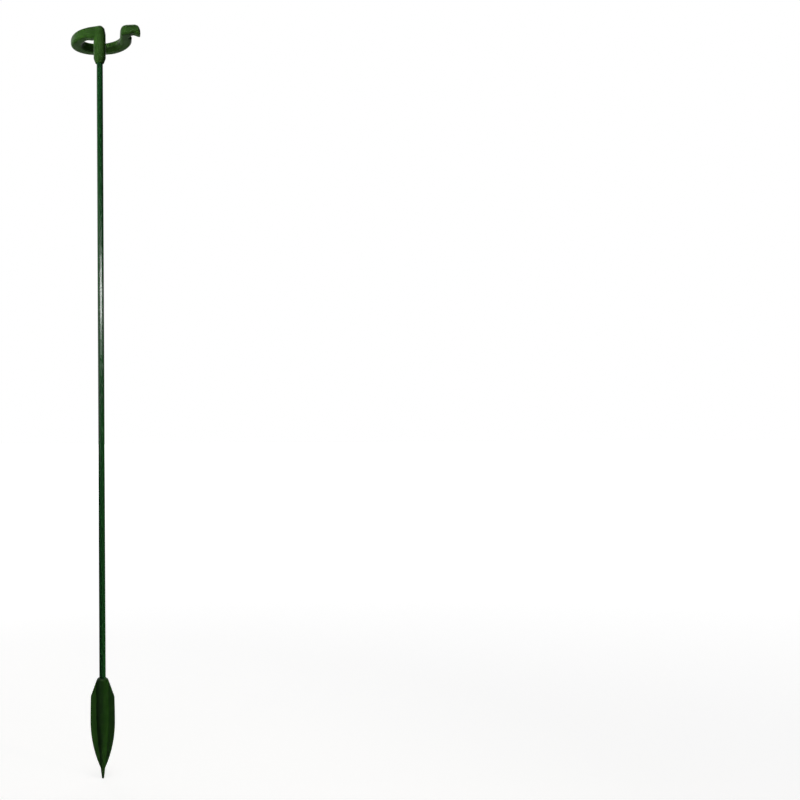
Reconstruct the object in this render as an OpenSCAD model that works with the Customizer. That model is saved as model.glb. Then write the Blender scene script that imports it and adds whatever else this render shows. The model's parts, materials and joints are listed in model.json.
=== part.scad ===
// Plant stake: a coated steel rod with a two-winged ground spike pushed on its lower end and an
// open stem ring pushed on its upper end. Millimetres, +Z up, origin on the rod's axis at the top of
// the spike's collar, which the soil reaches when the spike is pushed right in. +Y points from the rod
// to the far side of the ring, and +X to the ring's mouth.

/* [Rod] */
// Length of rod that shows between the spike's collar and the head's socket
rod_shown_l = 327; // [150:0.5:600]
// Diameter of the steel core
core_d = 2.2; // [1.6:0.1:3.2]
// Thickness of the plastic coating on the core
jacket_wall = 0.6; // [0.3:0.05:1]
// Corner break on the cut ends of the core
core_break = 0.3; // [0.1:0.05:0.5]

/* [Fits] */
// Clearance on the radius between the rod and the two sockets that it pushes into
rod_clearance = 0.05; // [0.02:0.01:0.1]
// Clearance on the radius between the arm's knuckle and its seat in the fixed half of the ring
bend_clearance = 0.08; // [0.03:0.01:0.1]

/* [Spike] */
// Depth of the spike's blind socket for the rod
spike_socket_depth = 20; // [10:0.5:28]
// Wall of the collar and of the round spine below it, outside the rod's bore
collar_wall = 1.35; // [0.9:0.05:2.5]
// Corner break on the rim of the collar
collar_break = 0.8; // [0.1:0.1:0.8]
// Height of the bare collar above the wings
collar_h = 1; // [0.8:0.1:4]
// Height of the sloping shoulders
shoulder_l = 8.5; // [5:0.1:14]
// Height of the full-width stretch of the wings
wing_straight_l = 13; // [8:0.5:30]
// Height over which the wings draw in to the nib
wing_taper_l = 25; // [18:0.5:40]
// Length of the thin nib below the wings
nib_l = 6; // [3:0.1:9]
// Diameter at the top of the nib
nib_d = 2.6; // [2:0.1:3.4]
// Diameter of the blunt point
point_d = 1.1; // [0.6:0.1:1.6]
// Width across the two wings
wing_w = 13; // [10:0.1:18]
// Thickness of the wings
wing_t = 1.4; // [0.8:0.1:2.4]
// How far the edges of the wings curl forwards where the wings are widest
wing_dish = 1.4; // [0.2:0.1:2]

/* [Socket of the head] */
// Depth of the head's blind socket for the rod
head_socket_depth = 14; // [8:0.5:24]
// Height of solid material above that socket
head_web = 5.5; // [4:0.1:9]
// Wall of the socket outside the rod's bore
socket_wall = 1.5; // [1:0.05:2.5]
// Wall left at the socket's mouth, below its drawn-in end
mouth_wall = 0.5; // [0.3:0.05:0.9]
// Height of the drawn-in end
socket_taper_h = 2.6; // [1:0.1:5]
// Corner break round the socket's top
socket_top_break = 1.2; // [0.2:0.1:1.4]

/* [Ring] */
// Inside radius of the ring, which takes the stem
ring_r = 10.3; // [8:0.1:16]
// Width of the strap that the ring is bent from
strap_w = 6.2; // [4.5:0.1:8]
// Height of the strap
strap_h = 5; // [3.2:0.1:7]
// Rounding along the strap's edges
strap_edge_r = 1.4; // [0.4:0.1:1.5]
// Gap left between the stem's circle and the wall of the socket
stem_gap = 0.1; // [0.05:0.05:1]
// Angle by which the ring stands out of square with the rod, free end high
ring_cant = 2.3; // [0:0.1:5]
// Direction, seen from above, at which the ring bends when its mouth is opened
bend_at = 113; // [100:1:125]
// Largest angle by which the arm swings at that bend
bend_swing = 12; // [4:1:18]
// Room left between the ends of the ring's two halves at that swing
bend_room = 0.2; // [0.1:0.05:0.6]
// Step in from the strap's faces to the round knuckle at the bend
knuckle_inset = 0.5; // [0.3:0.1:1]

/* [Lip] */
// Width of the mouth between the socket and the leg of the lip
mouth_w = 7.8; // [5:0.1:11]
// Distance from the rod's axis to the near edge of the lip
lip_front = 2.5; // [1.5:0.1:5]
// Length of the lip from the mouth side of its leg to its end
lip_l = 10.6; // [8.5:0.1:15]
// Rounding of the lip's corner at the mouth
mouth_corner_r = 4; // [2:0.1:5]
// Rounding of the lip's end at its top
tip_corner_r = 4.2; // [1:0.1:4.6]

/* [Hidden] */
$fn = 96;
jacket_green = "#17502b";
spike_green = "#1c4a26";
head_green = "#1f5a2c";
// Length by which a cutting shape runs past the face that it cuts
past = 1;
// Facets of the long, nearly flat arcs of the wings
wing_fn = 720;

// The rod runs from the floor of the spike's socket to the floor of the head's socket
rod_d = core_d + 2 * jacket_wall;
rod_low = -spike_socket_depth;
rod_l = spike_socket_depth + rod_shown_l + head_socket_depth;
bore_r = rod_d / 2 + rod_clearance;

// Radii of the two sockets, from the bore outwards
collar_r = bore_r + collar_wall;
socket_r = bore_r + socket_wall;
socket_mouth_r = bore_r + mouth_wall;

// Depths below the collar's top
shoulder_low = collar_h + shoulder_l;
taper_top = shoulder_low + wing_straight_l;
wing_low = taper_top + wing_taper_l;
spike_low = wing_low + nib_l;

// Outline of the wings: an arc draws each edge in, and a flatter arc dishes both wings
wing_half = wing_w / 2;
wing_draw = wing_half - nib_d / 2;
wing_arc_r = (pow(wing_draw, 2) + pow(wing_taper_l, 2)) / (2 * wing_draw);
wing_dish_r = (pow(wing_half, 2) + pow(wing_dish, 2)) / (2 * wing_dish);

// Heights of the head
head_low = rod_shown_l;
head_h = head_socket_depth + head_web;
head_high = head_low + head_h;
strap_mid = head_high - strap_h / 2;

// Plan of the ring, seen from above with the rod at (0, 0)
strap_mid_r = ring_r + strap_w / 2;
leg_in = socket_r + mouth_w;
lip_end = leg_in + lip_l;
ring_c = [leg_in - ring_r, socket_r + stem_gap + ring_r];
ring_start = 360 + atan2(-ring_c[1], -ring_c[0]);
bend_c = ring_c + strap_mid_r * [cos(bend_at), sin(bend_at)];
knuckle_r = strap_w / 2 - knuckle_inset;
knuckle_h = strap_h - 2 * knuckle_inset;
bend_gap = strap_w / 2 * sin(bend_swing) + bend_room;
lip_corner_c = [leg_in + mouth_corner_r, mouth_corner_r - lip_front];

// Puts what is drawn in the ring's own plane, at height 0, onto the rod at the ring's cant
module ring_plane() {
    translate([0, 0, strap_mid]) rotate([0, -ring_cant, 0]) children();
}

// Cross-section of the strap: a rectangle with rounded edges, centred on (0, 0)
module strap_section() {
    flat_w = strap_w - 2 * strap_edge_r;
    flat_h = strap_h - 2 * strap_edge_r;
    square([strap_w, flat_h], center = true);
    square([flat_w, strap_h], center = true);
    for (x = [-flat_w / 2, flat_w / 2], y = [-flat_h / 2, flat_h / 2])
        translate([x, y]) circle(strap_edge_r);
}

// The strap turned about a vertical axis, at a middle radius that may be less than half its width
module strap_turn(mid_r, angle) {
    rotate_extrude(angle = angle)
        intersection() {
            translate([mid_r, 0]) strap_section();
            translate([0, -strap_h]) square([mid_r + strap_w, 2 * strap_h]);
        }
}

// The strap run straight along +X
module strap_run(length) {
    rotate([90, 0, 90]) linear_extrude(length) strap_section();
}

// A stretch of the ring between two directions
module ring_arc(from, to) {
    translate(ring_c) rotate(from) strap_turn(strap_mid_r, to - from);
}

// Space that the fixed half of the ring leaves for the arm's knuckle and for its swing
module bend_seat() {
    cut_h = strap_h + 2 * past;
    translate(bend_c) rotate(bend_at) {
        cylinder(r = knuckle_r + bend_clearance, h = cut_h, center = true);
        translate([-strap_w, -past, -cut_h / 2]) cube([2 * strap_w, past + bend_gap, cut_h]);
    }
}

// What is cut away to round the top of the lip's end
module tip_corner() {
    cut_w = strap_w + 2 * past;
    translate([lip_end - tip_corner_r, strap_w / 2 - lip_front, strap_h / 2 - tip_corner_r])
        rotate([90, 0, 0])
            difference() {
                translate([0, 0, -cut_w / 2]) cube([tip_corner_r + past, tip_corner_r + past, cut_w]);
                cylinder(r = tip_corner_r, h = cut_w + past, center = true);
            }
}

module wing_outline() {
    polygon([
        [collar_r, -collar_h], [wing_half, -shoulder_low], [wing_half, -taper_top],
        [-wing_half, -taper_top], [-wing_half, -shoulder_low], [-collar_r, -collar_h]
    ]);
    intersection() {
        translate([wing_half - wing_arc_r, -taper_top]) circle(wing_arc_r, $fn = wing_fn);
        translate([wing_arc_r - wing_half, -taper_top]) circle(wing_arc_r, $fn = wing_fn);
        translate([-wing_half, -wing_low]) square([wing_w, wing_taper_l]);
    }
}

// Two wings of even thickness, dished so that their edges curl forwards
module wings() {
    intersection() {
        rotate([90, 0, 0]) linear_extrude(2 * wing_half, center = true) wing_outline();
        translate([0, -wing_dish_r, -wing_low]) linear_extrude(wing_low)
            difference() {
                circle(wing_dish_r + wing_t / 2, $fn = wing_fn);
                circle(wing_dish_r - wing_t / 2, $fn = wing_fn);
            }
    }
}

// The round spine, with the collar at its top and the nib at its foot
module spine() {
    rotate_extrude()
        polygon([
            [0, 0], [collar_r - collar_break, 0], [collar_r, -collar_break], [collar_r, -taper_top],
            [nib_d / 2, -wing_low], [point_d / 2, -spike_low], [0, -spike_low]
        ]);
}

module steel_core() {
    color("silver")
        translate([0, 0, rod_low])
            rotate_extrude()
                polygon([
                    [0, 0], [core_d / 2 - core_break, 0], [core_d / 2, core_break],
                    [core_d / 2, rod_l - core_break], [core_d / 2 - core_break, rod_l], [0, rod_l]
                ]);
}

module rod_jacket() {
    color(jacket_green)
        translate([0, 0, rod_low])
            difference() {
                cylinder(d = rod_d, h = rod_l);
                translate([0, 0, -past]) cylinder(d = core_d, h = rod_l + 2 * past);
            }
}

module ground_spike() {
    color(spike_green)
        difference() {
            union() {
                spine();
                wings();
            }
            translate([0, 0, rod_low]) cylinder(r = bore_r, h = spike_socket_depth + past);
        }
}

module clip_socket() {
    color(head_green)
        difference() {
            union() {
                translate([0, 0, head_low])
                    rotate_extrude()
                        polygon([
                            [0, 0], [socket_mouth_r, 0], [socket_r, socket_taper_h],
                            [socket_r, head_h - socket_top_break],
                            [socket_r - socket_top_break, head_h], [0, head_h]
                        ]);
                ring_plane()
                    difference() {
                        ring_arc(bend_at, ring_start);
                        bend_seat();
                    }
            }
            translate([0, 0, head_low - past]) cylinder(r = bore_r, h = head_socket_depth + past);
        }
}

module clip_arm() {
    color(head_green)
        ring_plane()
            difference() {
                union() {
                    translate(bend_c) cylinder(r = knuckle_r, h = knuckle_h, center = true);
                    ring_arc(0, bend_at);
                    translate([leg_in + strap_w / 2, lip_corner_c[1]])
                        rotate(90) strap_run(ring_c[1] - lip_corner_c[1]);
                    translate(lip_corner_c) rotate(180) strap_turn(mouth_corner_r - strap_w / 2, 90);
                    translate([lip_corner_c[0], strap_w / 2 - lip_front])
                        strap_run(lip_end - lip_corner_c[0]);
                }
                tip_corner();
            }
}

steel_core();
rod_jacket();
ground_spike();
clip_socket();
clip_arm();
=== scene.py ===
"""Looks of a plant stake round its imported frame: coated rod, winged ground spike and stem-ring clip."""

import json
import math

import bmesh
import bpy
from mathutils import Matrix, Vector


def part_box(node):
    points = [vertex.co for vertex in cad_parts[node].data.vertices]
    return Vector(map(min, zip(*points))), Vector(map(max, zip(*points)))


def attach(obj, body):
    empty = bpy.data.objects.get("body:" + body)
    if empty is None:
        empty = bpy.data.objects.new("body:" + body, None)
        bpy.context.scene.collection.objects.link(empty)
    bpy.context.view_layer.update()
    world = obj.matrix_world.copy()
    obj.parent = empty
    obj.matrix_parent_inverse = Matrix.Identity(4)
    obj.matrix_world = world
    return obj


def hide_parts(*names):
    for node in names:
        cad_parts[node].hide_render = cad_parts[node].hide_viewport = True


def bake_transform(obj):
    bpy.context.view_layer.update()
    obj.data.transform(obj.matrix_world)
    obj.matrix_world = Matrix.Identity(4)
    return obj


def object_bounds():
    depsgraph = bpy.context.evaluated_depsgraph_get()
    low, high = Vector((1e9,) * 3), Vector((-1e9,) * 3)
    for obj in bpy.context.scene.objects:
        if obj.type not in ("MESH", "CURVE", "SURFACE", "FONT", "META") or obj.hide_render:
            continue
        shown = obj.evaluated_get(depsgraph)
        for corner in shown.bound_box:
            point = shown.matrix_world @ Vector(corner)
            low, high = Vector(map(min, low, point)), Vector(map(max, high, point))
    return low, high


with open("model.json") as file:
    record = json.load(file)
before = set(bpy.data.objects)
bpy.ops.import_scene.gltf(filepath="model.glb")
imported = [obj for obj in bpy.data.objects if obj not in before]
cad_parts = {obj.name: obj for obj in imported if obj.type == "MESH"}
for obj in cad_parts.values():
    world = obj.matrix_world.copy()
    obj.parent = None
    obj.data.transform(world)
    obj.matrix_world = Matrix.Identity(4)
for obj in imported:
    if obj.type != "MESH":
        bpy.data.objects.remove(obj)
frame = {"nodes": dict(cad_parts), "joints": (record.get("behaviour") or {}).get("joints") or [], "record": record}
cad_low, cad_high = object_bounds()

# Shapes are modelled in millimetres and become metres when they are finished
MM_PER_M = 1000.0

# Stem-ring clip, in millimetres
STRAP_EDGE_R = 1.4
MOUTH_CORNER_R = 4.0
TIP_TOP_R = 4.2
TIP_SIDE_R = 1.5
TIP_INSET = 0.1
SOLE_DROP = 0.5
SOLE_HOLLOW = 0.6
LIP_SHOULDER_R = 2.8
LEG_LEAN = 1.1
LEG_FLARE = 0.2
ARM_DROP = 0.3
END_LEAN = 0.35
ROOT_DROP = 1.1
SOCKET_WALL = 1.5
SOCKET_MOUTH_WALL = 0.5
SOCKET_TAPER_H = 2.6
SOCKET_TOP_BREAK = 1.2
CROWN_H = 4.2
CROWN_DRAW = 0.26
GATE_R = 1.1
GATE_FLOOR_R = 0.77
GATE_PIP_R = (0.22, 0.44)
GATE_DEPTH = 0.25
GATE_REACH = 0.5

# Stretches over which the fillet beside the socket comes and goes, in millimetres, and its passes of easing
FILLET_STARTS = (2.4, 3.0)
FILLET_ENDS = (4.8, 6.0)
FILLET_BEYOND = (0.8, 2.0)
FILLET_RIGHT = (0.0, 1.0)
FILLET_PASSES = 30

# Stretches over which the ring's root comes and goes, in millimetres left of the rod and below the strap
ROOT_STARTS = (-0.5, 2.0)
ROOT_ENDS = (3.0, 7.5)
ROOT_BELOW = 4.0

# Stretches over which the forms of lip, leg and arm come and go, in millimetres
SHOULDER_BEFORE_TURN = (-2.5, 1.0)
HOLLOW_BEYOND_LEG = (-1.5, 0.8)
HOLLOW_SHORT_OF_TIP = 0.5
HOLLOW_BEHIND_LIP = (0.0, 2.5)
NECK_BEHIND_LIP = (1.5, 4.5)
LEAN_BEHIND_LIP = (-0.3, 0.6)
LEAN_ENDS = (0.0, 9.0)
ARM_DROP_STARTS = (2.0, 8.0)

# Ground spike, in millimetres below the top of its collar
COLLAR_BREAK = 0.8
COLLAR_H = 1.0
SHOULDER_FOOT = 9.5
TAPER_TOP = 22.5
WING_FOOT = 47.5
WING_BOW = 0.2
NIB_R = 1.3
POINT_R = 0.55
WING_T = 1.4
WING_DISH = 1.4

# Fit of the rod in both sockets, and the rounding of its cut ends, in millimetres
ROD_CLEARANCE = 0.05
COATING_END_R = 0.12

# Skin of a moulding: spacing of its points, passes and share of easing, and the inset of the strap
SKIN_SPACING = 0.17
SKIN_EASING = 5
EASING_SHARE = 0.5
SKIN_INSET = 0.01

# Points round a turned shape and a rounded edge, and steps along the strap and down the wings
ROUND_SIDES = 96
STRAP_EDGE_STEPS = 8
COATING_END_STEPS = 5
RING_STEPS = 180
LEG_STEPS = 8
LIP_TURN_STEPS = 12
LIP_STEPS = 4
WING_STEPS = 93
WING_COLUMNS = 12

# View of the stake, which stands at the picture's left: distance and height in metres, lens in millimetres
VIEW_DISTANCE = 0.530
VIEW_HEIGHT = 0.1479
VIEW_ROLL = math.radians(0.265)
VIEW_LENS = 44.8
VIEW_SHIFT = 0.3734

# Stage, in metres and degrees: the floor, and the dark room that is open behind the stake and on its left
FLOOR_Z = cad_low.z
ROOM_R = 2.4
ROOM_OPEN_LIFT = 40
ROOM_LEFT = -110
ROOM_RIGHT = 140
ROOM_STEP = 10
CLOTH_BACK = 2.3
CLOTH_LIFT = 0.001
FLOOR_HALF = 4.0
GLOW_NEAR = 0.3
GLOW_FAR = 1.5
GLOW_SHARE = 0.75

# Streak lamps, in metres and degrees: an arc round the rod whose reflections join into one long streak
STREAK_REACH = 1.5
STREAK_HEIGHT = 0.42
STREAK_TURNS = range(-21, 40, 15)

# Colours, in linear red, green and blue, with alpha for surfaces
CLIP_DEEP = (0.019, 0.064, 0.007, 1)
CLIP_LIT = (0.030, 0.088, 0.012, 1)
CLIP_RUBBED = (0.06, 0.14, 0.045, 1)
# The spike's colours are darker than the clip's green: painted shade for the dimmer light at the foot
SPIKE_DEEP_SHADED = (0.010, 0.044, 0.006, 1)
SPIKE_PALE_SHADED = (0.016, 0.060, 0.009, 1)
SPIKE_RUBBED_SHADED = (0.05, 0.11, 0.035, 1)
COATING_DEEP = (0.006, 0.046, 0.011, 1)
COATING_LIT = (0.012, 0.066, 0.017, 1)
STEEL_DARK = (0.36, 0.36, 0.35, 1)
STEEL_BRIGHT = (0.6, 0.6, 0.58, 1)
FLOOR_GREY = (0.5, 0.5, 0.5, 1)
CLOTH_BLACK = (0.02, 0.02, 0.02, 1)
LAMP_WHITE = (1, 1, 1)
LAMP_WARM = (1.0, 0.9, 0.7)

# Roughness of each finish, from its clearest patches to its haziest
CLIP_ROUGHNESS = (0.42, 0.55)
SPIKE_ROUGHNESS = (0.45, 0.6)
COATING_ROUGHNESS = (0.13, 0.2)
STEEL_ROUGHNESS = (0.28, 0.45)

# Strength of each finish's reflection, and of the pale rub on a moulding's edges and seam
MOULDING_SPECULAR = 0.3
COATING_SPECULAR = 0.5
RUB_STRENGTH = 0.35


def in_mm(point):
    return Vector(point) * MM_PER_M


def box_mm(node):
    low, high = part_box(node)
    return in_mm(low), in_mm(high)


def named(rows, name):
    return next(row for row in rows if row["name"] == name)


rod_low, rod_high = box_mm("rod_jacket")
core_high = box_mm("steel_core")[1]
spike_low, spike_high = box_mm("ground_spike")
socket_low = box_mm("clip_socket")[0]
arm_low, arm_high = box_mm("clip_arm")
stem_ring = named(frame["record"]["mounts"], "stem_ring")
ring_flex = named(frame["joints"], "ring_flex")
bore_r = rod_high.x + ROD_CLEARANCE

# Plan of the ring in its own plane, in millimetres from its middle
ring_middle = in_mm(stem_ring["pos_m"])
ring_up = Vector(stem_ring["axis"]).normalized()
strap_reach = (in_mm(ring_flex["pos_m"]) - ring_middle).length
strap_half_w = strap_reach - stem_ring["dims"]["r_mm"]
strap_h = stem_ring["dims"]["length_mm"] + 2 * STRAP_EDGE_R
leg_out = strap_reach + strap_half_w
lip_front = arm_low.y - ring_middle.y
lip_tip = arm_high.x - ring_middle.x - TIP_INSET
lip_turn_r = MOUTH_CORNER_R - strap_half_w
lip_turn = Vector((strap_reach + lip_turn_r, lip_front + MOUTH_CORNER_R))

# Height of the socket's top, which is level with the strap's upper side at the rod's axis
crown_top = ring_middle.z + ring_up.x / ring_up.z * ring_middle.x + strap_h / 2


# Small mesh tools

def join_rings(shape, one, two):
    """Faces between two rings of points, either of which may be a single point."""
    count = max(len(one), len(two))
    for i in range(count):
        j = (i + 1) % count
        corners = [one[i % len(one)], one[j % len(one)], two[j % len(two)], two[i % len(two)]]
        shape.faces.new(list(dict.fromkeys(corners)))


def lathe(profile):
    """Closed solid of revolution about Z, from points (radius, height) that start and end on the axis."""
    shape = bmesh.new()
    rings = []
    for radius, height in profile:
        count = ROUND_SIDES if radius > 0 else 1
        turns = [2 * math.pi * i / count for i in range(count)]
        rings.append([shape.verts.new((radius * math.cos(t), radius * math.sin(t), height)) for t in turns])
    for one, two in zip(rings, rings[1:]):
        join_rings(shape, one, two)
    bmesh.ops.recalc_face_normals(shape, faces=shape.faces[:])
    return shape


def loft(sections):
    """Closed solid through rings of points that all have the same count."""
    shape = bmesh.new()
    rings = [[shape.verts.new(point) for point in section] for section in sections]
    for one, two in zip(rings, rings[1:]):
        join_rings(shape, one, two)
    shape.faces.new(rings[0])
    shape.faces.new(rings[-1])
    bmesh.ops.recalc_face_normals(shape, faces=shape.faces[:])
    return shape


def new_object(name, data):
    made = bpy.data.objects.new(name, data)
    bpy.context.scene.collection.objects.link(made)
    return made


def evaluated_mesh(maker, name):
    """Plain mesh of an object with its modifiers applied. The object itself is removed."""
    bpy.context.view_layer.update()
    graph = bpy.context.evaluated_depsgraph_get()
    mesh = bpy.data.meshes.new_from_object(maker.evaluated_get(graph), depsgraph=graph)
    mesh.name = name
    bpy.data.objects.remove(maker)
    return mesh


def moulded_skin(name, shapes):
    """One closed skin round overlapping shapes, with its corners eased as a mould leaves them."""
    joined = bmesh.new()
    for shape in shapes:
        part = bpy.data.meshes.new(name + "_part")
        shape.to_mesh(part)
        shape.free()
        joined.from_mesh(part)
        bpy.data.meshes.remove(part)
    mesh = bpy.data.meshes.new(name + "_rough")
    joined.to_mesh(mesh)
    joined.free()
    maker = new_object(name + "_maker", mesh)
    skin = maker.modifiers.new("skin", "REMESH")
    skin.mode = "VOXEL"
    skin.voxel_size = SKIN_SPACING
    skin.use_smooth_shade = True
    ease = maker.modifiers.new("ease", "SMOOTH")
    ease.factor = EASING_SHARE
    ease.iterations = SKIN_EASING
    return evaluated_mesh(maker, name)


def eased_where(mesh, name, share_at, passes):
    """The mesh eased further where share_at gives a point a share above 0."""
    maker = new_object(name + "_maker", mesh)
    group = maker.vertex_groups.new(name="eased")
    for vertex in mesh.vertices:
        share = share_at(vertex.co)
        if share > 0:
            group.add([vertex.index], share, "REPLACE")
    ease = maker.modifiers.new("ease", "SMOOTH")
    ease.vertex_group = group.name
    ease.factor = EASING_SHARE
    ease.iterations = passes
    return evaluated_mesh(maker, name)


def rise(value, low, high):
    """0 up to low, 1 from high on, with a smooth step between them."""
    share = min(max((value - low) / (high - low), 0.0), 1.0)
    return share * share * (3 - 2 * share)


def rounded(u, v, corner_u, corner_v, radius):
    """Draws a point outside a rounded corner, which points to larger u and v, back onto it."""
    side_u = u - corner_u + radius
    side_v = v - corner_v + radius
    reach = math.hypot(side_u, side_v)
    if min(side_u, side_v) <= 0 or reach <= radius:
        return u, v
    return corner_u - radius + side_u * radius / reach, corner_v - radius + side_v * radius / reach


def finished(name, mesh, material):
    """Object of a mesh modelled in millimetres, at the frame's origin and in metres."""
    mesh.transform(Matrix.Scale(1 / MM_PER_M, 4))
    mesh.materials.clear()
    mesh.materials.append(material)
    mesh.shade_smooth()
    made = new_object(name, mesh)
    return made


# Node trees

class Nodes:
    """Adds nodes to a tree. An input's value may be another node's output, which is then linked."""

    def __init__(self, tree):
        self.tree = tree

    def add(self, kind, inputs=None, **settings):
        node = self.tree.nodes.new(kind)
        for key, value in settings.items():
            setattr(node, key, value)
        for key, value in (inputs or {}).items():
            self.give(next(s for s in node.inputs if s.name == key and s.enabled), value)
        return node

    def give(self, socket, value):
        if isinstance(value, bpy.types.NodeSocket):
            self.tree.links.new(value, socket)
        else:
            socket.default_value = value

    def out(self, kind, output, inputs=None, **settings):
        node = self.add(kind, inputs, **settings)
        return next(s for s in node.outputs if s.name == output and s.enabled)

    def noise(self, vector, scale, detail=3.0):
        return self.out("ShaderNodeTexNoise", "Fac", {"Vector": vector, "Scale": scale, "Detail": detail})

    def ramp(self, value, low, high, to_low=0.0, to_high=1.0):
        limits = {"Value": value, "From Min": low, "From Max": high, "To Min": to_low, "To Max": to_high}
        return self.out("ShaderNodeMapRange", "Result", limits)

    def math(self, operation, one, two):
        node = self.add("ShaderNodeMath", operation=operation)
        self.give(node.inputs[0], one)
        self.give(node.inputs[1], two)
        return node.outputs[0]

    def mix(self, share, one, two):
        inputs = {"Factor": share, "A": one, "B": two}
        return self.out("ShaderNodeMix", "Result", inputs, data_type="RGBA")


def new_group(kind, name, inputs, outputs):
    """Empty node group with the given sockets, each a name and a type with an optional first value."""
    tree = bpy.data.node_groups.new(name, kind)
    for socket_name, socket_type, *value in inputs:
        socket = tree.interface.new_socket(socket_name, in_out="INPUT", socket_type=socket_type)
        if value:
            socket.default_value = value[0]
    for socket_name, socket_type in outputs:
        tree.interface.new_socket(socket_name, in_out="OUTPUT", socket_type=socket_type)
    nodes = Nodes(tree)
    source = nodes.add("NodeGroupInput")
    target = nodes.add("NodeGroupOutput")
    return tree, nodes, source.outputs, target.inputs


FLOAT = "NodeSocketFloat"
VECTOR = "NodeSocketVector"
GEOMETRY = "NodeSocketGeometry"
MATERIAL = "NodeSocketMaterial"


def moulding_group():
    """Pigment clouds, fine pebbling and patches of haze on moulded plastic."""
    tree, nodes, given, made = new_group(
        "ShaderNodeTree", "moulding",
        [("Vector", VECTOR), ("Cloud scale", FLOAT, 180.0), ("Pebble scale", FLOAT, 2600.0)],
        [("Cloud", FLOAT), ("Pebble", FLOAT), ("Haze", FLOAT)],
    )
    link = tree.links.new
    cloud = nodes.noise(given["Vector"], given["Cloud scale"], 4.0)
    link(nodes.ramp(cloud, 0.32, 0.68), made["Cloud"])
    link(nodes.noise(given["Vector"], given["Pebble scale"], 2.0), made["Pebble"])
    haze_scale = nodes.math("MULTIPLY", given["Cloud scale"], 2.3)
    link(nodes.ramp(nodes.noise(given["Vector"], haze_scale, 5.0), 0.35, 0.7), made["Haze"])
    return tree


def worn_edge_group():
    """Mask of the rounded outer edges, broken up as handling rubs them."""
    tree, nodes, given, made = new_group(
        "ShaderNodeTree", "worn edges",
        [("Vector", VECTOR), ("Break scale", FLOAT, 700.0)],
        [("Mask", FLOAT)],
    )
    pointed = nodes.out("ShaderNodeNewGeometry", "Pointiness")
    edge = nodes.ramp(pointed, 0.505, 0.56)
    broken = nodes.ramp(nodes.noise(given["Vector"], given["Break scale"], 4.0), 0.4, 0.65)
    tree.links.new(nodes.math("MULTIPLY", edge, broken), made["Mask"])
    return tree


def drawn_line_group():
    """Fine lines along Z, as a die leaves on drawn wire and on its coating."""
    tree, nodes, given, made = new_group(
        "ShaderNodeTree", "drawn lines",
        [("Vector", VECTOR), ("Line scale", FLOAT, 3000.0), ("Stretch", FLOAT, 0.01)],
        [("Line", FLOAT), ("Haze", FLOAT)],
    )
    squeeze = nodes.out("ShaderNodeCombineXYZ", "Vector", {"X": 1.0, "Y": 1.0, "Z": given["Stretch"]})
    long_way = nodes.add("ShaderNodeVectorMath", operation="MULTIPLY")
    tree.links.new(given["Vector"], long_way.inputs[0])
    tree.links.new(squeeze, long_way.inputs[1])
    tree.links.new(nodes.noise(long_way.outputs[0], given["Line scale"], 3.0), made["Line"])
    tree.links.new(nodes.ramp(nodes.noise(given["Vector"], 90.0, 4.0), 0.35, 0.7), made["Haze"])
    return tree


def parting_seam_group():
    """Mask of the thin seam that a mould's two halves leave where their plane cuts the surface."""
    tree, nodes, given, made = new_group(
        "ShaderNodeTree", "parting seam",
        [("Vector", VECTOR), ("Plane normal", VECTOR), ("Plane offset", FLOAT),
         ("Half width", FLOAT, 0.00006)],
        [("Mask", FLOAT)],
    )
    along = nodes.add("ShaderNodeVectorMath", operation="DOT_PRODUCT")
    tree.links.new(given["Vector"], along.inputs[0])
    tree.links.new(given["Plane normal"], along.inputs[1])
    off = nodes.math("SUBTRACT", along.outputs["Value"], given["Plane offset"])
    gap = nodes.math("ABSOLUTE", off, 0.0)
    share = nodes.math("DIVIDE", gap, given["Half width"])
    tree.links.new(nodes.ramp(share, 1.0, 2.0, 1.0, 0.0), made["Mask"])
    return tree


MOULDING = moulding_group()
PARTING_SEAM = parting_seam_group()
WORN_EDGES = worn_edge_group()
DRAWN_LINES = drawn_line_group()


def new_material(name):
    """Material with a Principled shader, and the object's own coordinates."""
    material = bpy.data.materials.new(name)
    material.use_nodes = True
    nodes = Nodes(material.node_tree)
    shader = next(n for n in material.node_tree.nodes if n.type == "BSDF_PRINCIPLED")
    place = nodes.out("ShaderNodeTexCoord", "Object")
    return material, nodes, shader, place


def moulded_plastic(name, deep, lit, rubbed, roughness, seam_normal, seam_offset):
    """Satin plastic: clouded, pebbled, paler on rubbed edges and along its mould's parting seam."""
    material, nodes, shader, place = new_material(name)
    link = material.node_tree.links.new
    skin = nodes.add("ShaderNodeGroup", node_tree=MOULDING)
    link(place, skin.inputs["Vector"])
    edges = nodes.add("ShaderNodeGroup", node_tree=WORN_EDGES)
    link(place, edges.inputs["Vector"])
    seam = nodes.add("ShaderNodeGroup", node_tree=PARTING_SEAM)
    link(place, seam.inputs["Vector"])
    seam.inputs["Plane normal"].default_value = seam_normal
    seam.inputs["Plane offset"].default_value = seam_offset
    colour = nodes.mix(skin.outputs["Cloud"], deep, lit)
    worn = nodes.math("MAXIMUM", edges.outputs["Mask"], seam.outputs["Mask"])
    rub = nodes.math("MULTIPLY", worn, RUB_STRENGTH)
    link(nodes.mix(rub, colour, rubbed), shader.inputs["Base Color"])
    link(nodes.ramp(skin.outputs["Haze"], 0.0, 1.0, *roughness), shader.inputs["Roughness"])
    shader.inputs["Specular IOR Level"].default_value = MOULDING_SPECULAR
    height = nodes.math("ADD", skin.outputs["Pebble"], seam.outputs["Mask"])
    relief = {"Height": height, "Strength": 0.12, "Distance": 0.00005}
    link(nodes.out("ShaderNodeBump", "Normal", relief), shader.inputs["Normal"])
    return material


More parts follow.
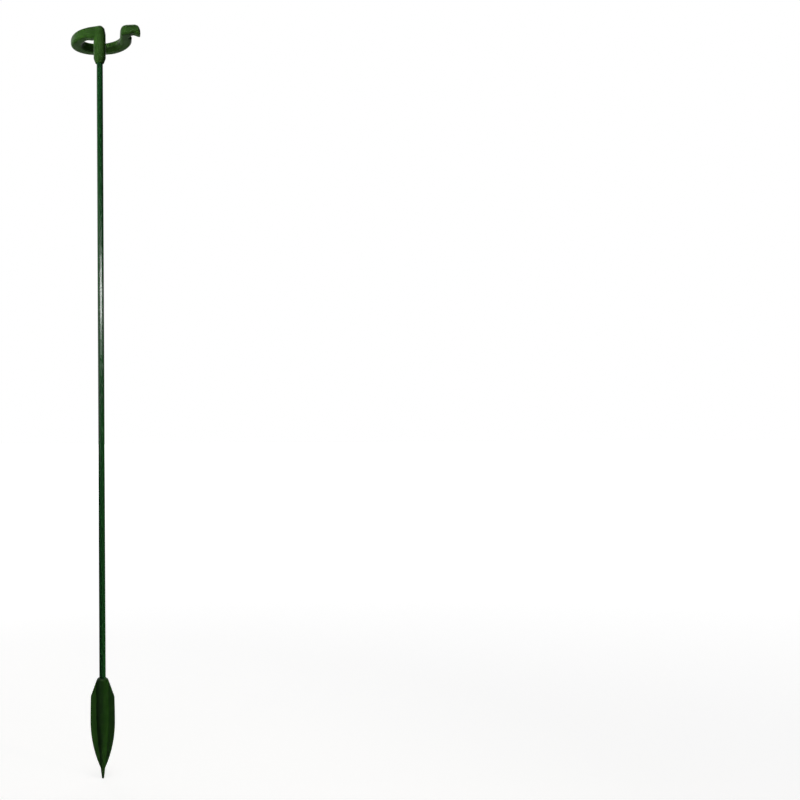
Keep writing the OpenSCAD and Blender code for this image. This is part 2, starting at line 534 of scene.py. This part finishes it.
def glossy_coating(name):
    """Glossy green coating with the faint long lines of its extrusion."""
    material, nodes, shader, place = new_material(name)
    link = material.node_tree.links.new
    lines = nodes.add("ShaderNodeGroup", node_tree=DRAWN_LINES)
    link(place, lines.inputs["Vector"])
    streak = nodes.ramp(lines.outputs["Line"], 0.3, 0.7)
    link(nodes.mix(streak, COATING_DEEP, COATING_LIT), shader.inputs["Base Color"])
    link(nodes.ramp(lines.outputs["Haze"], 0.0, 1.0, *COATING_ROUGHNESS), shader.inputs["Roughness"])
    shader.inputs["Specular IOR Level"].default_value = COATING_SPECULAR
    relief = {"Height": lines.outputs["Line"], "Strength": 0.04, "Distance": 0.00004}
    link(nodes.out("ShaderNodeBump", "Normal", relief), shader.inputs["Normal"])
    return material


def drawn_steel(name):
    """Bright drawn wire."""
    material, nodes, shader, place = new_material(name)
    link = material.node_tree.links.new
    lines = nodes.add("ShaderNodeGroup", node_tree=DRAWN_LINES)
    link(place, lines.inputs["Vector"])
    lines.inputs["Line scale"].default_value = 5000.0
    link(nodes.mix(lines.outputs["Line"], STEEL_DARK, STEEL_BRIGHT), shader.inputs["Base Color"])
    link(nodes.ramp(lines.outputs["Haze"], 0.0, 1.0, *STEEL_ROUGHNESS), shader.inputs["Roughness"])
    shader.inputs["Metallic"].default_value = 1.0
    relief = {"Height": lines.outputs["Line"], "Strength": 0.2, "Distance": 0.00003}
    link(nodes.out("ShaderNodeBump", "Normal", relief), shader.inputs["Normal"])
    return material


# Stem-ring clip

def strap_path():
    """Middle line of the strap in the ring's plane: from the rod round the ring, and out along the lip."""
    start = math.atan2(-ring_middle.y, -ring_middle.x) + 2 * math.pi
    points = []
    for i in range(RING_STEPS + 1):
        turn = start * (1 - i / RING_STEPS)
        points.append((strap_reach * math.cos(turn), strap_reach * math.sin(turn)))
    for i in range(1, LEG_STEPS + 1):
        points.append((strap_reach, lip_turn.y * i / LEG_STEPS))
    for i in range(1, LIP_TURN_STEPS + 1):
        turn = math.pi * (1 + i / LIP_TURN_STEPS / 2)
        points.append((lip_turn.x + lip_turn_r * math.cos(turn), lip_turn.y + lip_turn_r * math.sin(turn)))
    for i in range(1, LIP_STEPS + 1):
        points.append((lip_turn.x + (lip_tip - lip_turn.x) * i / LIP_STEPS, lip_turn.y - lip_turn_r))
    return points


def strap_tree():
    """Sweeps a strap with rounded edges along a path."""
    tree, nodes, given, made = new_group(
        "GeometryNodeTree", "strap along a path",
        [("Path", GEOMETRY), ("Width", FLOAT), ("Height", FLOAT),
         ("Edge rounding", FLOAT), ("Finish", MATERIAL)],
        [("Strap", GEOMETRY)],
    )
    sides = {"Width": given["Width"], "Height": given["Height"]}
    section = nodes.out("GeometryNodeCurvePrimitiveQuadrilateral", "Curve", sides)
    eased_section = nodes.out(
        "GeometryNodeFilletCurve", "Curve",
        {"Curve": section, "Radius": given["Edge rounding"], "Count": STRAP_EDGE_STEPS}, mode="POLY",
    )
    level = nodes.out("GeometryNodeSetCurveNormal", "Curve", {"Curve": given["Path"]}, mode="Z_UP")
    swept = nodes.out(
        "GeometryNodeCurveToMesh", "Mesh",
        {"Curve": level, "Profile Curve": eased_section, "Fill Caps": True},
    )
    whole = nodes.out("GeometryNodeRealizeInstances", "Geometry", {"Geometry": swept})
    dressed = nodes.out(
        "GeometryNodeSetMaterial", "Geometry", {"Geometry": whole, "Material": given["Finish"]},
    )
    tree.links.new(dressed, made["Strap"])
    return tree


def set_inputs(modifier, values):
    """Gives a Geometry Nodes modifier its values by the names of the tree's inputs."""
    for item in modifier.node_group.interface.items_tree:
        if item.item_type == "SOCKET" and item.in_out == "INPUT" and item.name in values:
            modifier[item.identifier] = values[item.name]


def strap(material):
    """The swept strap in the ring's own plane."""
    points = strap_path()
    line = bpy.data.curves.new("strap_path", "CURVE")
    line.dimensions = "3D"
    spline = line.splines.new("POLY")
    spline.points.add(len(points) - 1)
    for knot, (x, y) in zip(spline.points, points):
        knot.co = (x, y, 0, 1)
    maker = new_object("strap_maker", line)
    sweep = maker.modifiers.new("strap", "NODES")
    sweep.node_group = strap_tree()
    width = 2 * (strap_half_w - SKIN_INSET)
    height = strap_h - 2 * SKIN_INSET
    sizes = {"Width": width, "Height": height, "Edge rounding": STRAP_EDGE_R, "Finish": material}
    set_inputs(sweep, sizes)
    shape = bmesh.new()
    mesh = evaluated_mesh(maker, "strap")
    shape.from_mesh(mesh)
    bpy.data.meshes.remove(mesh)
    return shape


def ring_plane():
    """From the ring's own plane, centred on the ring, to the frame."""
    side = Vector((0, 1, 0)).cross(ring_up).normalized()
    turn = Matrix((side, ring_up.cross(side), ring_up)).transposed().to_4x4()
    return Matrix.Translation(ring_middle) @ turn


def clip_socket_shape():
    """Socket with a blind bore for the rod and a drawn-in mouth."""
    low = socket_low.z
    outer = bore_r + SOCKET_WALL
    return lathe([
        (0, rod_high.z), (bore_r, rod_high.z), (bore_r, low), (bore_r + SOCKET_MOUTH_WALL, low),
        (outer, low + SOCKET_TAPER_H), (outer, crown_top - SOCKET_TOP_BREAK),
        (outer - SOCKET_TOP_BREAK, crown_top), (0, crown_top),
    ])


def inside_corner(point):
    """Share of the fillet between the socket and the ring that runs off to its left."""
    out = math.hypot(point.x, point.y)
    off = abs((point - ring_middle).dot(ring_up))
    near_wall = rise(out, *FILLET_STARTS) * (1 - rise(out, *FILLET_ENDS))
    near_ring = 1 - rise(off - strap_h / 2, *FILLET_BEYOND)
    return near_wall * near_ring * (1 - rise(point.x, *FILLET_RIGHT))


def socket_crown(x, y, z):
    """Draws the free side of the socket in towards its top and sinks a gate mark into the top."""
    out = math.hypot(x, y)
    if out > 2 * bore_r:
        return x, z
    if x > 0:
        x *= 1 - CROWN_DRAW * min(max(1 - (crown_top - z) / CROWN_H, 0), 1)
    if z > crown_top - GATE_REACH and out < GATE_R:
        z -= GATE_DEPTH * (1 - rise(out, GATE_FLOOR_R, GATE_R))
        z += GATE_DEPTH * (1 - rise(out, *GATE_PIP_R))
    return x, z


def lip_and_leg(a, b, c):
    """Rounds the lip's end and its corner at the mouth, shapes its sole and draws in the leg behind it."""
    half_h = strap_h / 2
    a, c = rounded(a, c, lip_tip, half_h, TIP_TOP_R)
    a, away = rounded(a, -b, lip_tip, -lip_front, TIP_SIDE_R)
    b = -away
    share = rise(lip_turn.y - b, *SHOULDER_BEFORE_TURN)
    inner_side = strap_reach - strap_half_w
    if share > 0 and inner_side - 1 < a < strap_reach:
        turned, lowered = rounded(-a, c, -inner_side, half_h, LIP_SHOULDER_R)
        a += (-turned - a) * share
        c += (lowered - c) * share
    behind_lip = b - lip_front - 2 * strap_half_w
    if c < 0:
        hollow = rise(a - leg_out, *HOLLOW_BEYOND_LEG) * (1 - rise(behind_lip, *HOLLOW_BEHIND_LIP))
        hollow *= 1 - rise(a, leg_out + HOLLOW_BEYOND_LEG[1], lip_tip - HOLLOW_SHORT_OF_TIP)
        c *= 1 + (SOLE_DROP * rise(a, leg_out, lip_tip) - SOLE_HOLLOW * hollow) / half_h
    if a > strap_reach:
        near_lip = 1 - rise(behind_lip, *NECK_BEHIND_LIP)
        drawn_in = near_lip + (1 - near_lip) * rise(c, -half_h / 2, half_h / 2)
        along = rise(behind_lip, *LEAN_BEHIND_LIP) * (1 - rise(b, *LEAN_ENDS))
        shift = LEG_FLARE * (1 - drawn_in) - LEG_LEAN * drawn_in
        a += shift * along * rise(a, strap_reach, leg_out)
    if c < 0:
        c *= 1 + ARM_DROP / half_h * rise(b, 0.0, strap_reach) * rise(a, *ARM_DROP_STARTS)
    return a, b, c


def root_drop(x, off):
    """How far the strap's underside, and the wall below it, are drawn down beside the socket."""
    along = rise(-x, *ROOT_STARTS) * (1 - rise(-x, *ROOT_ENDS))
    under = rise(off, 0.0, strap_h / 2) * (1 - rise(off, strap_h / 2, strap_h / 2 + ROOT_BELOW))
    return ROOT_DROP * along * under


def ring_end_lean(a, c):
    """How far the ring's left end leans in at its top."""
    return END_LEAN * rise(-a, strap_reach - strap_half_w, leg_out) * rise(c, 0.0, strap_h / 2)


def sculpt_clip(mesh):
    """Moves the points of the clip's skin to the softer forms of the real moulding."""
    plane = ring_plane()
    back = plane.inverted()
    for vertex in mesh.vertices:
        x, y, z = vertex.co
        x, z = socket_crown(x, y, z)
        a, b, c = back @ Vector((x, y, z))
        if a > strap_half_w:
            a, b, c = lip_and_leg(a, b, c)
        else:
            a += ring_end_lean(a, c)
            c -= root_drop(x, -c) if b < 0 else 0
        vertex.co = plane @ Vector((a, b, c))


def stem_ring_clip(material):
    """Strap and socket under one skin."""
    ring = strap(material)
    bmesh.ops.transform(ring, matrix=ring_plane(), verts=ring.verts[:])
    mesh = moulded_skin("stem_ring_clip", [ring, clip_socket_shape()])
    mesh = eased_where(mesh, "stem_ring_clip", inside_corner, FILLET_PASSES)
    sculpt_clip(mesh)
    clip = finished("stem_ring_clip", mesh, material)
    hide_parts("clip_socket", "clip_arm")
    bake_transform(clip)
    return clip


# Ground spike

def wing_half_width(depth):
    """Half the spike's width at a depth below the collar's top."""
    half = spike_high.x
    collar_r = spike_high.y
    if depth < SHOULDER_FOOT:
        share = (depth - COLLAR_H) / (SHOULDER_FOOT - COLLAR_H)
        return collar_r + (half - WING_BOW - collar_r) * share
    if depth < TAPER_TOP:
        share = (depth - SHOULDER_FOOT) / (TAPER_TOP - SHOULDER_FOOT)
        return half - WING_BOW * (1 - share) ** 2
    draw = half - NIB_R
    run = WING_FOOT - TAPER_TOP
    arc_r = (draw ** 2 + run ** 2) / (2 * draw)
    return half - arc_r + math.sqrt(arc_r ** 2 - (depth - TAPER_TOP) ** 2)


def wing_section(depth):
    """Ring of points across both wings, which are dished so that their edges curl forwards."""
    half = wing_half_width(depth)
    across = [half * i / WING_COLUMNS for i in range(-WING_COLUMNS, WING_COLUMNS + 1)]
    middle = [(x, -WING_DISH * (x / spike_high.x) ** 2) for x in across]
    front = [(x, y - WING_T / 2, -depth) for x, y in middle]
    back = [(x, y + WING_T / 2, -depth) for x, y in reversed(middle)]
    return front + back


def ground_spike(material):
    """Wings and a round spine with the rod's blind bore, under one skin."""
    depths = [COLLAR_H + (WING_FOOT - COLLAR_H) * i / WING_STEPS for i in range(WING_STEPS + 1)]
    wings = loft([wing_section(depth) for depth in depths])
    collar_r = spike_high.y
    spine = lathe([
        (0, spike_low.z), (POINT_R, spike_low.z), (NIB_R, -WING_FOOT), (collar_r, -TAPER_TOP),
        (collar_r, -COLLAR_BREAK), (collar_r - COLLAR_BREAK, 0),
        (bore_r, 0), (bore_r, rod_low.z), (0, rod_low.z),
    ])
    mesh = moulded_skin("winged_spike", [wings, spine])
    spike = finished("winged_spike", mesh, material)
    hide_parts("ground_spike")
    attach(spike, "spike")
    return spike


# Coated rod

def coating_tree():
    """Tube with rounded ends: a wall section carried round a circle."""
    tree, nodes, given, made = new_group(
        "GeometryNodeTree", "coating round a wire",
        [("Geometry", GEOMETRY), ("Outer radius", FLOAT), ("Bore radius", FLOAT),
         ("Low", FLOAT), ("High", FLOAT), ("End rounding", FLOAT), ("Finish", MATERIAL)],
        [("Coating", GEOMETRY)],
    )
    wall = nodes.math("SUBTRACT", given["Outer radius"], given["Bore radius"])
    length = nodes.math("SUBTRACT", given["High"], given["Low"])
    middle_r = nodes.math("DIVIDE", nodes.math("ADD", given["Outer radius"], given["Bore radius"]), 2.0)
    middle_z = nodes.math("DIVIDE", nodes.math("ADD", given["High"], given["Low"]), 2.0)
    sides = {"Width": wall, "Height": length}
    section = nodes.out("GeometryNodeCurvePrimitiveQuadrilateral", "Curve", sides)
    eased_section = nodes.out(
        "GeometryNodeFilletCurve", "Curve",
        {"Curve": section, "Radius": given["End rounding"], "Count": COATING_END_STEPS}, mode="POLY",
    )
    circle = {"Resolution": ROUND_SIDES, "Radius": middle_r}
    round_path = nodes.out("GeometryNodeCurvePrimitiveCircle", "Curve", circle)
    carried = {"Curve": round_path, "Profile Curve": eased_section}
    tube = nodes.out("GeometryNodeCurveToMesh", "Mesh", carried)
    lift = nodes.out("ShaderNodeCombineXYZ", "Vector", {"Z": middle_z})
    placed = nodes.out("GeometryNodeTransform", "Geometry", {"Geometry": tube, "Translation": lift})
    whole = nodes.out("GeometryNodeRealizeInstances", "Geometry", {"Geometry": placed})
    dressed = nodes.out(
        "GeometryNodeSetMaterial", "Geometry", {"Geometry": whole, "Material": given["Finish"]},
    )
    tree.links.new(dressed, made["Coating"])
    return tree


def rod_coating(material):
    """Coating of the rod, open at both ends where the wire is cut."""
    maker = new_object("coating_maker", bpy.data.meshes.new("coating_maker"))
    sweep = maker.modifiers.new("coating", "NODES")
    sweep.node_group = coating_tree()
    set_inputs(sweep, {
        "Outer radius": rod_high.x, "Bore radius": core_high.x, "Low": rod_low.z, "High": rod_high.z,
        "End rounding": COATING_END_R, "Finish": material,
    })
    coating = finished("rod_coating", evaluated_mesh(maker, "rod_coating"), material)
    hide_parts("rod_jacket")
    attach(coating, "rod")
    return coating


# Stage

def white_world():
    """Plain white backdrop all round."""
    world = bpy.data.worlds.new("white_backdrop")
    bpy.context.scene.world = world
    world.use_nodes = True
    back = next(n for n in world.node_tree.nodes if n.type == "BACKGROUND")
    back.inputs["Color"].default_value = (1, 1, 1, 1)
    back.inputs["Strength"].default_value = 1.0


def pale_floor():
    """Floor that glows towards white for the camera and in reflections, and takes the stake's shadow."""
    mesh = bpy.data.meshes.new("floor")
    half = FLOOR_HALF
    corners = [(-half, -half), (half, -half), (half, half), (-half, half)]
    mesh.from_pydata([(x, y, FLOOR_Z) for x, y in corners], [], [(0, 1, 2, 3)])
    material = bpy.data.materials.new("pale_floor")
    material.use_nodes = True
    tree = material.node_tree
    nodes = Nodes(tree)
    tree.nodes.remove(next(n for n in tree.nodes if n.type == "BSDF_PRINCIPLED"))
    path = nodes.add("ShaderNodeLightPath")
    seen = nodes.math("MAXIMUM", path.outputs["Is Camera Ray"], path.outputs["Is Glossy Ray"])
    seen = nodes.math("MAXIMUM", seen, path.outputs["Is Transmission Ray"])
    pale = nodes.out("ShaderNodeBsdfDiffuse", "BSDF", {"Color": FLOOR_GREY})
    reach = nodes.add("ShaderNodeVectorMath", operation="LENGTH")
    tree.links.new(nodes.out("ShaderNodeTexCoord", "Object"), reach.inputs[0])
    level = nodes.ramp(reach.outputs["Value"], GLOW_NEAR, GLOW_FAR, GLOW_SHARE, 1.0)
    glow = nodes.out("ShaderNodeEmission", "Emission", {"Strength": nodes.math("MULTIPLY", level, seen)})
    white = nodes.add("ShaderNodeAddShader")
    tree.links.new(pale, white.inputs[0])
    tree.links.new(glow, white.inputs[1])
    target = next(n for n in tree.nodes if n.type == "OUTPUT_MATERIAL")
    tree.links.new(white.outputs[0], target.inputs["Surface"])
    mesh.materials.append(material)
    new_object("floor", mesh)


def dark_flag(name, points, faces, material):
    """Dark studio flag that shades the stake and shows in its gloss. The camera looks through it."""
    mesh = bpy.data.meshes.new(name)
    mesh.from_pydata(points, [], faces)
    mesh.materials.append(material)
    flag = new_object(name, mesh)
    flag.visible_camera = False
    return flag


def dark_flags():
    """A dark room, open low behind the stake and to its left, and a cloth that shows only in the gloss."""
    black = bpy.data.materials.new("black_cloth")
    black.use_nodes = True
    shader = next(n for n in black.node_tree.nodes if n.type == "BSDF_PRINCIPLED")
    shader.inputs["Base Color"].default_value = CLOTH_BLACK
    shader.inputs["Specular IOR Level"].default_value = 0.0
    turns = range(-180, 181, ROOM_STEP)
    lifts = range(-ROOM_STEP, 91, ROOM_STEP)
    points = []
    for lift in lifts:
        out = ROOM_R * math.cos(math.radians(lift))
        for turn in turns:
            side = out * math.sin(math.radians(turn))
            ahead = -out * math.cos(math.radians(turn))
            points.append((side, ahead, ROOM_R * math.sin(math.radians(lift))))
    faces = []
    for row, lift in enumerate(lifts[:-1]):
        for column, turn in enumerate(turns[:-1]):
            if lift < ROOM_OPEN_LIFT and not ROOM_LEFT <= turn < ROOM_RIGHT:
                continue
            corner = row * len(turns) + column
            faces.append((corner, corner + 1, corner + 1 + len(turns), corner + len(turns)))
    dark_flag("dark_room", points, faces, black)
    level = FLOOR_Z + CLOTH_LIFT
    sides = [(-ROOM_R, -ROOM_R), (ROOM_R, -ROOM_R), (ROOM_R, CLOTH_BACK), (-ROOM_R, CLOTH_BACK)]
    cloth = dark_flag("dark_cloth", [(x, y, level) for x, y in sides], [(0, 1, 2, 3)], black)
    cloth.visible_shadow = False
    cloth.visible_diffuse = False


def soft_box(name, place, aim, size, watts, spread, colour=LAMP_WHITE, gloss=True):
    """Rectangular lamp. Without gloss it lights the stake but doesn't show in it."""
    lamp = bpy.data.lights.new(name, "AREA")
    lamp.shape = "RECTANGLE"
    lamp.size, lamp.size_y = size
    lamp.energy = watts
    lamp.spread = math.radians(spread)
    lamp.color = colour
    made = new_object(name, lamp)
    made.location = place
    made.rotation_euler = (Vector(aim) - Vector(place)).to_track_quat("-Z", "Y").to_euler()
    made.visible_glossy = gloss
    return made


def studio_light():
    """Light from the left on the head and from the right on the spike, fills, and lamps for the gloss."""
    head = (0, 0, 0.34)
    middle = (0, 0, 0.15)
    foot = (0, 0, -0.02)
    ring = (0, 0.01, 0.345)
    small = (0.2, 0.2)
    wide = (0.5, 0.5)
    soft_box("left_key", (-0.9, -1.1, 0.46), head, small, watts=0.40, spread=26, gloss=False)
    soft_box(
        "right_foot", (1.11, -0.93, 0.1), foot, small, watts=0.28, spread=24, colour=LAMP_WARM, gloss=False,
    )
    soft_box("front_fill", (0.1, -1.5, 0.25), middle, wide, watts=0.4, spread=120, gloss=False)
    soft_box("back_fill", (-0.5, 1.4, 0.12), middle, wide, watts=2.0, spread=70, gloss=False)
    soft_box("floor_bounce", (-0.4, 0.1, FLOOR_Z + 0.01), ring, small, watts=0.18, spread=40, gloss=False)
    soft_box("top_box", (0, -0.35, 1.7), (0, 0, 0), (0.6, 0.6), watts=6.0, spread=180)
    rod = (0, 0, 0.2)
    left = soft_box("left_box", (-1.3, -0.9, 0.3), rod, (1.2, 0.9), watts=2.6, spread=180)
    left.visible_diffuse = False
    for turn in STREAK_TURNS:
        side = STREAK_REACH * math.sin(math.radians(turn))
        ahead = STREAK_REACH * math.cos(math.radians(turn))
        place = (side, -ahead, STREAK_HEIGHT)
        streak = soft_box("streak_box", place, rod, (0.4, 0.13), watts=0.034, spread=12)
        streak.visible_diffuse = False


def photo_view():
    """Camera level with the stake's middle, rolled a little so that the stake leans as in the photo."""
    camera = bpy.data.cameras.new("view")
    camera.sensor_width = 36.0
    camera.lens = VIEW_LENS
    camera.shift_x = VIEW_SHIFT
    camera.clip_start = 0.01
    made = new_object("view", camera)
    made.location = (0, -VIEW_DISTANCE, VIEW_HEIGHT)
    made.rotation_euler = (math.radians(90), VIEW_ROLL, 0)
    bpy.context.scene.camera = made


photo_view()
white_world()
pale_floor()
dark_flags()
studio_light()
bpy.context.scene.view_settings.view_transform = "Standard"

clip_plastic = moulded_plastic(
    "clip_plastic", CLIP_DEEP, CLIP_LIT, CLIP_RUBBED, CLIP_ROUGHNESS,
    seam_normal=ring_up, seam_offset=ring_up.dot(ring_middle) / MM_PER_M,
)
# The spike's plastic carries painted shade: its colours are darker for the dimmer light at the foot
spike_plastic = moulded_plastic(
    "spike_plastic", SPIKE_DEEP_SHADED, SPIKE_PALE_SHADED, SPIKE_RUBBED_SHADED, SPIKE_ROUGHNESS,
    seam_normal=(0, 1, 0), seam_offset=0,
)
stem_ring_clip(clip_plastic)
ground_spike(spike_plastic)
rod_coating(glossy_coating("rod_coating"))
core = frame["nodes"]["steel_core"]
core.data.materials.clear()
core.data.materials.append(drawn_steel("core_steel"))
